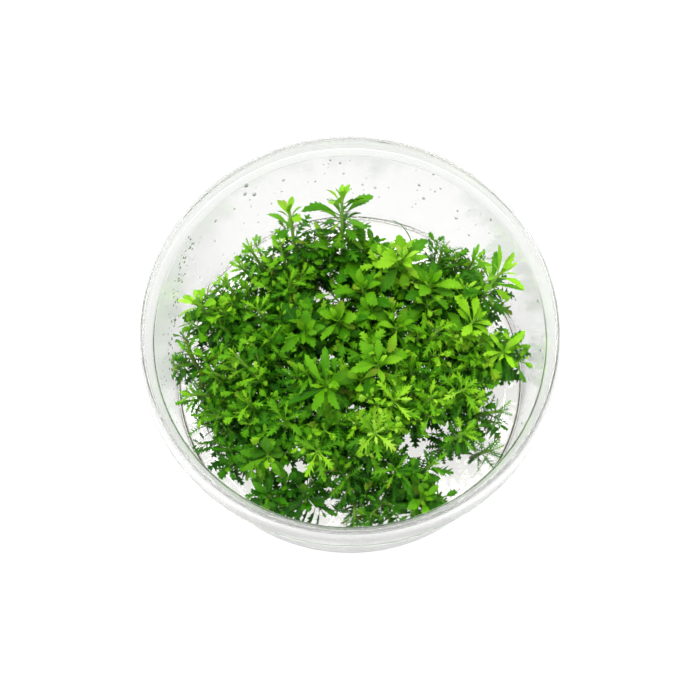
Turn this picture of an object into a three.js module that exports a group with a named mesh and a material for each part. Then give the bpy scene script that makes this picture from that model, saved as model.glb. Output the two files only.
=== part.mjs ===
// A clear plastic culture cup of Cuba mermaid weed (Proserpinaca palustris): the cup, the nutrient gel
// on its floor, and the young plants that stand in the gel, each one grown piece of stem and leaves.
// Sizes are in millimetres. The origin is the middle of the cup's underside and +Z is up.
import * as THREE from "three";

const TURN = 2 * Math.PI;
const DEGREE = Math.PI / 180;

// The cup: a thin wall that widens upwards, a step where the lid sits, and a rim with a hanging skirt.
const CUP_SIDES = 40;
const CUP_HEIGHT = 45;
const BASE_RADIUS = 45;
const RIM_RADIUS = 50;
const SKIRT_RADIUS = 51.3;
const SKIRT_BOTTOM = 36;
const STEP_HEIGHT = 39.7;
const STEP_RADIUS = 47.4;
const WALL = 0.9;
const FLOOR_TOP = 1.8;
const FOOT_RECESS = 0.8;
const FOOT_INNER_RADIUS = 39.6;
const WALL_FOOT_RADIUS = 44.1;
const WALL_FOOT_HEIGHT = 3.2;
const WALL_TOP_RADIUS = STEP_RADIUS - 0.8;
const WALL_TOP_HEIGHT = STEP_HEIGHT - 0.4;

// The gel: a disc that lies just inside the wall and its rounded foot.
const GAP = 0.3;
const GEL_SIDES = 20;
const GEL_FLOOR_RADIUS = 42.1;
const GEL_RADIUS = 43.5;
const GEL_TOP = 5.4;

// A plant: a square stem that bends from its root to its tip, and tiers of four leaves.
const STEM_SIDES = 4;
const STEM_RADIUS = 0.58;
const STEM_START = GEL_TOP + GAP;
const STEM_UPRIGHT = 0.55;
const STEM_BEND = 0.42;
const BUD_HEIGHT = 1;
const TIER_TURN = 45 * DEGREE;
const ROOT_PULL = 0.86;
const ROOT_LIMIT = 38;
const ROOT_SPREAD = 9;
const TALL_PLANT = 31;
const SHORT_PLANT = 22;

// Tiers from the stem's tip down: the stretch of stem below the tip that carries the leaves, and the
// leaves' length, rise above the level in degrees, and droop as a share of the length.
const TIERS = [
  { from: 0, to: 1.1, length: 4.8, rise: 60, droop: 0.05 },
  { from: 1.1, to: 2.2, length: 6.8, rise: 35, droop: 0.12 },
  { from: 4.6, to: 5.3, length: 7.8, rise: 22, droop: 0.2 },
  { from: 8.6, to: 9.3, length: 7.6, rise: 12, droop: 0.24 },
  { from: 13.2, to: 13.9, length: 7.0, rise: 5, droop: 0.26 },
];
const LENGTH_SPREAD = 0.55;
const RISE_SPREAD = 36;
const TURN_SPREAD = 50;

// A leaf is widest at its shoulder, and its two halves fold up a little from the midrib.
const SHOULDER = 0.66;
const FOLD = 0.22;
const BASE_HALF_WIDTH = 0.45;
const HALF_WIDTHS = { broad: 0.2, comb: 0.19, lance: 0.12, feather: 0.17 };

// Leaves keep clear of other plants and of the wall. One that would touch turns, rises or is shorter.
const CLEARANCE = 0.95;
const WALL_CLEARANCE = 0.7;
const PROBE_STEP = 0.6;
const TRIES = [
  { turn: 0, rise: 0, scale: 1 },
  { turn: 14, rise: 0, scale: 1 },
  { turn: -14, rise: 0, scale: 1 },
  { turn: 0, rise: 16, scale: 1 },
  { turn: 0, rise: -14, scale: 1 },
  { turn: 24, rise: 10, scale: 0.92 },
  { turn: -24, rise: 10, scale: 0.92 },
  { turn: 12, rise: -22, scale: 0.9 },
  { turn: -12, rise: -22, scale: 0.9 },
  { turn: 0, rise: 28, scale: 0.86 },
  { turn: 0, rise: 0, scale: 0.74 },
  { turn: 18, rise: 20, scale: 0.68 },
  { turn: -18, rise: 20, scale: 0.68 },
  { turn: 0, rise: 35, scale: 0.58 },
  { turn: 0, rise: 0, scale: 0.48 },
];

const PLANT_COLOURS = { broad: 0x58a81c, comb: 0x63b51f, lance: 0x6fb82a, feather: 0x3f8a1c };

// The plants: tip x, y and height, first leaf's heading in degrees, leaf size, leaf form, and the root's
// x and y where the stem leans more than its neighbours do.
const PLANTS = [
  [-2, 37, 36, 20, 1.1, "broad", -2, 14],
  [-15, 34, 34, 70, 0.78, "broad", -12, 18],
  [-25, 27, 27, 10, 0.85, "comb"],
  [-31, 19, 25, 50, 0.8, "comb"],
  [-38, 14, 23, 15, 0.95, "broad"],
  [-15, 18, 28, 35, 0.95, "comb"],
  [-23, 12, 25, 80, 0.85, "comb"],
  [13, 23, 31, 60, 1.12, "broad"],
  [20, 17, 29, 10, 1.1, "broad"],
  [23, 27, 25, 45, 0.85, "feather"],
  [37, 18, 34, 75, 1.0, "broad", 26, 10],
  [31, 25, 24, 30, 0.75, "lance"],
  [31, 8, 28, 25, 1.0, "broad"],
  [22, 5, 29, 0, 0.92, "comb"],
  [38, 0, 27, 65, 0.95, "lance"],
  [-28, -1, 27, 30, 0.9, "comb", -17, -9],
  [-20, 4, 25, 55, 1.05, "broad"],
  [-41, 3, 19, 85, 0.8, "comb"],
  [-39, -9, 20, 40, 0.85, "comb"],
  [-6, -10, 30, 5, 1.2, "lance"],
  [-16, -17, 25, 75, 1.15, "broad"],
  [-8, -26, 28, 30, 1.0, "comb"],
  [-20, -26, 23, 60, 1.0, "broad"],
  [-20, -34, 17, 20, 0.9, "broad"],
  [6, -22, 31, 15, 1.15, "comb"],
  [7, -4, 30, 50, 1.05, "broad"],
  [11, -13, 29, 80, 1.0, "comb"],
  [20, -12, 28, 35, 0.95, "comb"],
  [28, -10, 27, 70, 0.95, "comb"],
  [28, -20, 24, 10, 0.9, "comb"],
  [37, -13, 19, 55, 0.8, "feather"],
  [35, -22, 15, 25, 0.8, "feather"],
  [20, -27, 20, 0, 0.85, "comb"],
  [18, -35, 18, 65, 0.95, "broad"],
  [-11, -35, 15, 40, 0.95, "broad"],
  [1, -39, 14, 85, 0.85, "comb"],
  [10, -36, 16, 20, 0.8, "feather"],
  [-30, -22, 17, 50, 0.85, "comb"],
  [-32, 8, 22, 0, 0.85, "feather"],
  [-34, -4, 22, 75, 0.9, "comb"],
  [-33, -15, 20, 30, 1.0, "broad"],
  [-11, 5, 27, 60, 1.05, "broad"],
  [-3, 8, 28, 15, 1.0, "broad"],
  [-13, -6, 26, 85, 1.0, "comb"],
  [12, 6, 28, 40, 1.05, "broad"],
  [3, 16, 28, 70, 1.1, "broad"],
  [-9, 27, 26, 25, 0.9, "feather"],
  [4, 27, 27, 55, 0.95, "broad"],
  [-3, -18, 27, 45, 0.9, "feather"],
  [11, -29, 23, 30, 1.0, "broad"],
  [-1, -31, 21, 75, 0.85, "feather"],
  [-25, -12, 24, 20, 1.0, "broad"],
  [15, -4, 27, 5, 0.9, "feather"],
  [31, -2, 25, 35, 0.85, "feather"],
  [-37, -15, 15, 10, 0.7, "feather"],
];

// A number from 0 to 1 that looks random but is the same each time for the same two whole numbers.
function scatter(a, b) {
  const wave = Math.sin(a * 12.9898 + b * 78.233) * 43758.5453;
  return wave - Math.floor(wave);
}

// The inner wall's radius at a height.
function wallRadius(height) {
  const share = (height - WALL_FOOT_HEIGHT) / (WALL_TOP_HEIGHT - WALL_FOOT_HEIGHT);
  return WALL_FOOT_RADIUS + Math.min(Math.max(share, 0), 1) * (WALL_TOP_RADIUS - WALL_FOOT_RADIUS);
}

// A profile of radius and height, turned about the upright axis.
function turned(profile, sides) {
  const points = profile.map(([radius, height]) => new THREE.Vector2(radius, height));
  return new THREE.LatheGeometry(points, sides).rotateX(Math.PI / 2);
}

// Half of the cup's cut, from the middle of the underside round the rim to the middle of the floor.
function cupGeometry() {
  const profile = [
    [0, FOOT_RECESS],
    [FOOT_INNER_RADIUS, FOOT_RECESS],
    [FOOT_INNER_RADIUS + 0.6, 0],
    [BASE_RADIUS - 1, 0],
    [BASE_RADIUS, 1.2],
    [WALL_TOP_RADIUS + WALL + 0.2, SKIRT_BOTTOM + 2.4],
    [STEP_RADIUS + WALL, STEP_HEIGHT],
    [RIM_RADIUS - 0.7, CUP_HEIGHT - 1.6],
    [SKIRT_RADIUS - WALL, SKIRT_BOTTOM],
    [SKIRT_RADIUS, SKIRT_BOTTOM],
    [RIM_RADIUS + 0.1, CUP_HEIGHT - 0.4],
    [RIM_RADIUS - 0.5, CUP_HEIGHT],
    [STEP_RADIUS, STEP_HEIGHT],
    [WALL_TOP_RADIUS, WALL_TOP_HEIGHT],
    [WALL_FOOT_RADIUS, WALL_FOOT_HEIGHT],
    [WALL_FOOT_RADIUS - 1.4, FLOOR_TOP],
    [0, FLOOR_TOP],
  ];
  return turned(profile, CUP_SIDES);
}

// Half of the gel's cut, from the middle of its underside to the middle of its top.
function gelGeometry() {
  const profile = [
    [0, FLOOR_TOP + GAP],
    [GEL_FLOOR_RADIUS, FLOOR_TOP + GAP],
    [GEL_RADIUS, WALL_FOOT_HEIGHT + GAP],
    [GEL_RADIUS, GEL_TOP],
    [0, GEL_TOP],
  ];
  return turned(profile, GEL_SIDES);
}

// A plant's values by name, with its root's place where the list gives none: near the point below the
// tip, a little nearer to the cup's middle.
function plantOf([x, y, height, heading, size, form, rootX, rootY], plantIndex) {
  const leanX = (scatter(plantIndex, 323) - 0.5) * ROOT_SPREAD;
  const leanY = (scatter(plantIndex, 324) - 0.5) * ROOT_SPREAD;
  const root = new THREE.Vector3(rootX ?? x * ROOT_PULL + leanX, rootY ?? y * ROOT_PULL + leanY);
  root.clampLength(0, ROOT_LIMIT).setZ(STEM_START);
  const tip = new THREE.Vector3(x, y, height);
  const rise = height - STEM_START;
  const bend = new THREE.Vector3().lerpVectors(root, tip, STEM_BEND);
  bend.z = STEM_START + rise * STEM_UPRIGHT;
  const tiers = height >= TALL_PLANT ? 5 : height <= SHORT_PLANT ? 3 : 4;
  return {
    curve: new THREE.QuadraticBezierCurve3(root, bend, tip),
    span: root.distanceTo(tip),
    tiers: TIERS.slice(0, tiers),
    heading: heading * DEGREE,
    size,
    form,
  };
}

// The stem's own directions at a share of its way: along it, and two across it.
function stemFrame(plant, share) {
  const along = plant.curve.getTangent(share);
  const across = new THREE.Vector3(1, 0, 0).addScaledVector(along, -along.x).normalize();
  return { along, across, side: new THREE.Vector3().crossVectors(along, across) };
}

// A unit vector across the stem, at an angle round it.
function outward(frame, angle) {
  return new THREE.Vector3()
    .addScaledVector(frame.across, Math.cos(angle))
    .addScaledVector(frame.side, Math.sin(angle));
}

// A leaf as its base, its midrib's way out, its droop and the places of its tip and shoulders.
function leafOf(plant, plantIndex, tierIndex, side, change) {
  const tier = plant.tiers[tierIndex];
  const seed = tierIndex * STEM_SIDES + side;
  const middle = 1 - (tier.from + tier.to) / 2 / plant.span;
  const frame = stemFrame(plant, middle);
  const spread = (scatter(plantIndex, seed + 40) - 0.5) * TURN_SPREAD + change.turn;
  const facet = plant.heading + tierIndex * TIER_TURN + (side * TURN) / STEM_SIDES;
  const angle = facet + spread * DEGREE;
  const rise = (tier.rise + (scatter(plantIndex, seed + 80) - 0.5) * RISE_SPREAD + change.rise) * DEGREE;
  const spreadLength = 1 + (scatter(plantIndex, seed) - 0.5) * LENGTH_SPREAD;
  const length = tier.length * plant.size * spreadLength * change.scale;
  const out = outward(frame, angle);
  const way = out.clone().multiplyScalar(Math.cos(rise)).addScaledVector(frame.along, Math.sin(rise));
  const width = outward(frame, angle + Math.PI / 2);
  const face = new THREE.Vector3().crossVectors(way, width);
  const base = plant.curve.getPoint(middle).addScaledVector(outward(frame, facet), STEM_RADIUS * 0.7);
  const halfWidth = length * HALF_WIDTHS[plant.form];
  return { base, way, width, face, length, halfWidth, droop: tier.droop };
}

// A point on a leaf: the share of the way to its tip, and the place from edge to edge, from -1 to 1.
function leafPoint(leaf, share, place) {
  const widest = share < SHOULDER ? share / SHOULDER : (1 - share) / (1 - SHOULDER);
  const halfWidth = Math.max(BASE_HALF_WIDTH * (1 - share), widest * leaf.halfWidth);
  const point = leaf.base.clone().addScaledVector(leaf.way, share * leaf.length);
  point.z -= leaf.droop * share * share * leaf.length;
  point.addScaledVector(leaf.width, place * halfWidth);
  return point.addScaledVector(leaf.face, Math.abs(place) * FOLD * halfWidth);
}

// Points spread over a leaf, for testing what it comes near.
function leafProbes(leaf) {
  const rows = Math.ceil(leaf.length / PROBE_STEP);
  const probes = [];
  for (let row = 1; row <= rows; row += 1) {
    for (const place of [-1, -0.5, 0, 0.5, 1]) probes.push(leafPoint(leaf, row / rows, place));
  }
  return probes;
}

// Space holds the points of every plant placed so far, in cells one clearance wide.
class Space {
  constructor() {
    this.cells = new Map();
  }

  key(point, shiftX, shiftY, shiftZ) {
    const cell = (value) => Math.floor(value / CLEARANCE);
    return `${cell(point.x) + shiftX},${cell(point.y) + shiftY},${cell(point.z) + shiftZ}`;
  }

  add(point, owner) {
    const key = this.key(point, 0, 0, 0);
    if (!this.cells.has(key)) this.cells.set(key, []);
    this.cells.get(key).push({ point, owner });
  }

  touches(point, owner) {
    for (const x of [-1, 0, 1]) {
      for (const y of [-1, 0, 1]) {
        for (const z of [-1, 0, 1]) {
          const near = this.cells.get(this.key(point, x, y, z)) ?? [];
          if (near.some((n) => n.owner !== owner && n.point.distanceTo(point) < CLEARANCE)) return true;
        }
      }
    }
    return false;
  }
}

// Whether a leaf stays between the gel and the rim, inside the wall and clear of the other plants.
function fits(leaf, owner, space) {
  return leafProbes(leaf).every(
    (point) =>
      point.z > STEM_START + GAP &&
      point.z < CUP_HEIGHT - 1 &&
      Math.hypot(point.x, point.y) < wallRadius(point.z) - WALL_CLEARANCE &&
      !space.touches(point, owner),
  );
}

// The stem's rings from the root up, as shares of its way and the tier whose leaves it turns with.
function ringsOf(plant) {
  const last = plant.tiers.length - 1;
  const rings = [{ share: 0, tier: last }];
  for (let tier = last; tier >= 0; tier -= 1) {
    rings.push({ share: 1 - plant.tiers[tier].to / plant.span, tier, leafy: true });
    rings.push({ share: 1 - plant.tiers[tier].from / plant.span, tier });
  }
  return rings;
}

// One closed surface: the square stem, and each leaf drawn out of the side that carries it.
function plantGeometry(plant, leaves) {
  const vertices = [];
  const faces = [];
  const addVertex = (point) => vertices.push(point) - 1;
  const addFace = (...corners) => faces.push(corners);
  const rings = ringsOf(plant).map(({ share, tier, leafy }) => {
    const frame = stemFrame(plant, share);
    const corners = [];
    for (let side = 0; side < STEM_SIDES; side += 1) {
      const angle = plant.heading + tier * TIER_TURN + ((side - 0.5) * TURN) / STEM_SIDES;
      const point = plant.curve.getPoint(share).addScaledVector(outward(frame, angle), STEM_RADIUS);
      corners.push(addVertex(point));
    }
    return { corners, tier, leafy };
  });
  for (let index = 1; index < rings.length; index += 1) {
    const below = rings[index - 1];
    const above = rings[index];
    for (let side = 0; side < STEM_SIDES; side += 1) {
      const next = (side + 1) % STEM_SIDES;
      const [lowRight, lowLeft] = [below.corners[side], below.corners[next]];
      const [highRight, highLeft] = [above.corners[side], above.corners[next]];
      const leaf = below.leafy ? leaves[below.tier][side] : null;
      if (!leaf) {
        addFace(lowRight, lowLeft, highLeft);
        addFace(lowRight, highLeft, highRight);
        continue;
      }
      const left = addVertex(leafPoint(leaf, SHOULDER, 1));
      const right = addVertex(leafPoint(leaf, SHOULDER, -1));
      const tip = addVertex(leafPoint(leaf, 1, 0));
      addFace(highRight, right, highLeft);
      addFace(highLeft, right, left);
      addFace(left, right, tip);
      addFace(highLeft, left, lowLeft);
      addFace(highRight, lowRight, right);
      addFace(lowLeft, left, tip);
      addFace(lowLeft, tip, lowRight);
      addFace(lowRight, tip, right);
    }
  }
  const foot = rings[0].corners;
  addFace(foot[0], foot[2], foot[1]);
  addFace(foot[0], foot[3], foot[2]);
  const crown = rings[rings.length - 1].corners;
  const bud = addVertex(plant.curve.getPoint(1).addScaledVector(plant.curve.getTangent(1), BUD_HEIGHT));
  for (let side = 0; side < STEM_SIDES; side += 1) {
    addFace(crown[side], crown[(side + 1) % STEM_SIDES], bud);
  }
  const geometry = new THREE.BufferGeometry();
  geometry.setAttribute(
    "position",
    new THREE.Float32BufferAttribute(vertices.flatMap((point) => point.toArray()), 3),
  );
  geometry.setIndex(faces.flat());
  geometry.computeVertexNormals();
  return geometry;
}

// Points along a stem, for testing what comes near it.
function stemProbes(plant) {
  const steps = Math.ceil(plant.span / PROBE_STEP);
  return Array.from({ length: steps + 1 }, (_, step) => plant.curve.getPoint(step / steps));
}

// Every plant's leaves, the highest tiers first, because they take the light and the space.
function growLeaves(plants) {
  const space = new Space();
  plants.forEach((plant, owner) => stemProbes(plant).forEach((point) => space.add(point, owner)));
  const grown = plants.map((plant) => plant.tiers.map(() => Array(STEM_SIDES).fill(null)));
  for (let tierIndex = 0; tierIndex < TIERS.length; tierIndex += 1) {
    plants.forEach((plant, owner) => {
      if (tierIndex >= plant.tiers.length) return;
      for (let side = 0; side < STEM_SIDES; side += 1) {
        const leaf = TRIES.map((change) => leafOf(plant, owner, tierIndex, side, change)).find(
          (candidate) => fits(candidate, owner, space),
        );
        if (!leaf) continue;
        grown[owner][tierIndex][side] = leaf;
        leafProbes(leaf).forEach((point) => space.add(point, owner));
      }
    });
  }
  return grown;
}

function mesh(name, geometry, material) {
  const piece = new THREE.Mesh(geometry, material);
  piece.name = name;
  return piece;
}

const weed = new THREE.Group();

const clearPlastic = new THREE.MeshStandardMaterial({
  color: 0xf4f6f5,
  roughness: 0.06,
  metalness: 0,
  transparent: true,
  opacity: 0.25,
});
const clearGel = new THREE.MeshStandardMaterial({
  color: 0xf3ece4,
  roughness: 0.1,
  metalness: 0,
  transparent: true,
  opacity: 0.3,
});
weed.add(mesh("cup", cupGeometry(), clearPlastic));
weed.add(mesh("gel", gelGeometry(), clearGel));

const plants = PLANTS.map(plantOf);
const leaves = growLeaves(plants);
plants.forEach((plant, index) => {
  const colour = PLANT_COLOURS[plant.form];
  const material = new THREE.MeshStandardMaterial({ color: colour, roughness: 0.5, metalness: 0 });
  const name = `plant_${String(index + 1).padStart(2, "0")}`;
  weed.add(mesh(name, plantGeometry(plant, leaves[index]), material));
});

export default weed;
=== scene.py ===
"""A clear culture cup of Cuba mermaid weed: cup, gel, young plants, and the drops and mist on the wall.

Sizes are in millimetres, and MM turns them into metres when a mesh is made. The origin is the middle of
the cup's underside, +Z is up and -Y is towards the viewer.
"""

import math

import bpy
import numpy as np
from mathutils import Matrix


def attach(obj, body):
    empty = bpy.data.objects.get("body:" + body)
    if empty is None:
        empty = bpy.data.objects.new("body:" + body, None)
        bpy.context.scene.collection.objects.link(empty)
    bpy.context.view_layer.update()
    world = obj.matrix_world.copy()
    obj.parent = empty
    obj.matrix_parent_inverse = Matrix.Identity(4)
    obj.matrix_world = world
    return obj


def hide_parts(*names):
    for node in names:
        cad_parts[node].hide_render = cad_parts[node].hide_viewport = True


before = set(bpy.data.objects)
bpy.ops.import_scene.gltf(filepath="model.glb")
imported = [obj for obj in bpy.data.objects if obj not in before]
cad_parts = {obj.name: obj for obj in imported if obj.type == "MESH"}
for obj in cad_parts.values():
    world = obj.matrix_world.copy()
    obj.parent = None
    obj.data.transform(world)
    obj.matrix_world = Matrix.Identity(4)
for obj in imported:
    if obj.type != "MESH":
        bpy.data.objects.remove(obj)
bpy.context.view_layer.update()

MM = 0.001
TURN = 2 * math.pi
BODY = "root"

# The cup. All but the last two, which say how finely its mesh is turned and rounded, are the solid's.
CUP_HEIGHT = 45.0
BASE_RADIUS = 45.0
RIM_RADIUS = 50.0
SKIRT_RADIUS = 51.3
SKIRT_BOTTOM = 36.0
STEP_HEIGHT = 39.7
STEP_RADIUS = 47.4
WALL = 0.9
FLOOR_TOP = 1.8
FOOT_RECESS = 0.8
FOOT_INNER_RADIUS = 39.6
WALL_FOOT_RADIUS = 44.1
WALL_FOOT_HEIGHT = 3.2
WALL_TOP_RADIUS = STEP_RADIUS - 0.2
WALL_TOP_HEIGHT = STEP_HEIGHT - 0.6
CUP_SEGMENTS = 320
CORNER_STEPS = 6

# The gel: its top, how far it reaches into the cup's floor, and how far it stands clear of the wall.
GEL_TOP = 5.4
GEL_TOUCH = 0.04
GEL_CLEARANCE = 0.06

# A plant's stem, as the solids have it. It starts above the gel, and its bend lies at one share of the way
# across to the tip and at another share of the way up.
STEM_START = GEL_TOP + 0.3
STEM_BEND = 0.42
STEM_UPRIGHT = 0.55
# The root lies nearer to the cup's middle than the tip does, within a limit, and a little aside by chance.
ROOT_PULL = 0.86
ROOT_LIMIT = 38.0
ROOT_SPREAD = 9.0
ROOT_SEEDS = np.array([323, 324])
# A plant of the first height or more has five main tiers, one of the second height or less has three, and
# the others have four.
TALL_PLANT = 31
SHORT_PLANT = 22
WALL_CLEARANCE = 0.35

# The round tube drawn along a stem: its radius at the root and at the tip, how far it goes into the gel,
# how far its bud stands out, how much it narrows at its two ends, and its rings and corners.
STEM_RADIUS = 0.58
STEM_TIP_RADIUS = 0.36
STEM_IN_GEL = 2.0
BUD_HEIGHT = 1.0
FOOT_TAPER = 0.7
BUD_TAPER = 0.2
STEM_STEPS = 18
STEM_CORNERS = 8

# Tiers of leaves from a stem's tip down: the distance below the tip, the number of leaves, their length,
# their rise in degrees and their droop as a share of the length. The solids have the main tiers too.
MAIN_TIERS = (
    (0.55, 4, 4.8, 60, 0.05),
    (1.65, 4, 6.8, 35, 0.12),
    (4.95, 4, 7.8, 22, 0.20),
    (8.95, 4, 7.6, 12, 0.24),
    (13.55, 4, 7.0, 5, 0.26),
)
BETWEEN_TIERS = (
    (0.15, 3, 2.4, 76, 0.02),
    (3.2, 2, 6.0, 34, 0.14),
    (6.8, 3, 6.2, 20, 0.20),
)
LOW_TIERS = (
    (8.6, 5, 6.6, 14, 0.22),
    (10.4, 6, 6.6, 12, 0.22),
    (12.2, 6, 6.6, 8, 0.22),
    (14.0, 6, 6.4, 6, 0.20),
    (15.9, 6, 6.4, 4, 0.18),
    (17.8, 6, 6.2, 4, 0.14),
    (19.8, 6, 6.0, 6, 0.10),
    (21.8, 6, 5.6, 8, 0.08),
    (23.8, 5, 5.2, 10, 0.06),
    (25.8, 5, 4.8, 12, 0.04),
)
# How far each tier is turned from the one above it, in radians.
MAIN_TURN = TURN / 8
BETWEEN_TURN = 1.9
LOW_TURN = 1.1
SHOOT_TIER_TURN = 1.7
# The tiers between start a little beside the main ones.
BETWEEN_HEADING = 0.4
# A tier nearer than this to the root is left out.
TIER_END = 0.8
# Where on the stem's radius a leaf starts.
LEAF_ROOT = 0.4

# What chance changes in a leaf: angles in degrees and a twist in radians, the rest as shares of the leaf.
# The last three are the least value and what chance adds to it at most.
LENGTH_SPREAD = 0.55
RISE_SPREAD = 36
TURN_SPREAD = 50
SWEEP_SPREAD = 0.22
TWIST_SPREAD = 1.5
LEAF_BOW = (0.10, 0.35)
LEAF_FOLD = (0.10, 0.50)
LEAF_WIDTH = (0.75, 0.40)
# Each of these has its own seed, added to the leaf's own, and so has each kind of tier.
SEEDS = {
    "length": 0,
    "turn": 40,
    "rise": 80,
    "sweep": 120,
    "twist": 160,
    "tone": 200,
    "bow": 240,
    "fold": 280,
    "width": 320,
}
BETWEEN_SEED = 300
LOW_SEED = 400
SHOOT_SEED = 500

# Side shoots on a plant's lower stem. The first starts at a share of the way up the stem, and each next one
# a step further up, with a little added by chance. Each turns from the one before, in radians.
SHOOTS = 4
SHOOT_START = 0.16
SHOOT_STEP = 0.12
SHOOT_START_SPREAD = 0.10
PLANT_TURN = 1.3
SHOOT_TURN = 2.2
# How far a shoot reaches from its stem, and how far it climbs as a share of what is left of the stem: the
# least value and what chance adds to it at most. Its bend lies at shares of that reach and climb.
SHOOT_REACH = (3.8, 1.8)
SHOOT_CLIMB = (0.68, 0.26)
SHOOT_BEND_OUT = 0.85
SHOOT_BEND_UP = 0.3
# A shoot's number for its chances is its plant's, plus this for each shoot.
SHOOT_NUMBERS = 60
# A shoot's tube: its radius, how much it narrows, how deep its foot is sunk, its rings and corners. Its
# leaves are drawn no smaller than a least size.
SHOOT_RADIUS = 0.34
SHOOT_TAPER = 0.6
SHOOT_SUNK = 0.2
SHOOT_RINGS = 7
SHOOT_CORNERS = 5
SHOOT_LEAF_SIZE = 0.8
SHOOT_TIERS = (
    (0.1, 2, 2.2, 72, 0.02),
    (0.9, 3, 4.4, 48, 0.06),
    (2.6, 3, 5.2, 34, 0.12),
    (4.6, 3, 5.4, 22, 0.16),
    (6.8, 3, 5.2, 12, 0.18),
    (9.0, 3, 4.8, 6, 0.18),
    (11.2, 3, 4.6, 4, 0.16),
)

# One bare root thread stands up behind the clump: the plant it grows on, its radius, how much it narrows,
# its rings and corners, its brightness, which makes it dark, and its path.
THREAD_PLANT = 7
THREAD_RADIUS = 0.16
THREAD_TAPER = 0.7
THREAD_RINGS = 9
THREAD_CORNERS = 6
THREAD_BRIGHTNESS = -0.5
THREAD_PATH = ((16.0, 29.0, 22.5), (14.5, 33.5, 26.0), (11.2, 35.6, 24.0))

# Leaves. The edge's widths are shares of the half width: at the stalk, where it is cut back most, at the
# tip, and at the point of a tooth. The rest are shares of the way along the leaf.
SHOULDER = 0.66
STALK_WIDTH = 0.11
CUT_WIDTH = 0.07
TIP_WIDTH = 0.03
POINT_WIDTH = 1.05
TIP_CURVE = 1.8
# How deep the first tooth starts and the last one ends, as shares of a form's depth, and how far the last
# one's end leans, as a share of a tooth's lean.
FIRST_CUT = 0.3
LAST_CUT = 0.5
LAST_LEAN = 0.3
# Half a blade's thickness in the middle of its foot, and the share that it loses on the way to the tip.
BLADE_THICKNESS = 0.08
BLADE_THINNING = 0.65
# Half width, lobes on a side, where they start and end, how deep they are cut, how far their tips lean
# forward, the share of each lobe's room that its base takes, and where the blade starts to widen.
LEAF_FORMS = {
    "broad": (0.205, 5, 0.38, 0.94, 0.26, 0.050, 1.0, 0.14),
    "comb": (0.225, 3, 0.40, 0.92, 0.68, 0.150, 0.62, 0.20),
    "lance": (0.125, 3, 0.52, 0.93, 0.28, 0.045, 1.0, 0.08),
    "feather": (0.21, 5, 0.18, 0.90, 0.86, 0.120, 0.5, -0.25),
    "low_comb": (0.23, 5, 0.16, 0.92, 0.90, 0.120, 0.44, -0.10),
}
# How large the solids' leaves are drawn, for each form, and how many of the main tiers are young leaves.
LEAF_SHARES = {"broad": 0.98, "comb": 0.8, "lance": 1.0, "feather": 0.9}
YOUNG_TIERS = 3
# Plants whose tops stand open, and how many of the tiers between the main ones they have.
OPEN_PLANTS = {1: 1, 10: 1}
# Plants with fewer side shoots than the others, and plants whose lower leaves are small, where the clump
# stands open.
SHOOT_COUNTS = {0: 2, 1: 2, 10: 2, 29: 1, 31: 0, 32: 1}
LOW_LEAF_SIZES = {29: 0.62, 31: 0.5, 32: 0.7}
# One side shoot more closes the clump behind its middle: its plant, how far up the stem it starts, and the
# points that its curve bends towards and ends at.
EXTRA_SHOOT_PLANT = 45
EXTRA_SHOOT_START = 0.3
EXTRA_SHOOT_PATH = ((-1.5, 16.0, 12.0), (-4.8, 17.5, 21.0))

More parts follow.
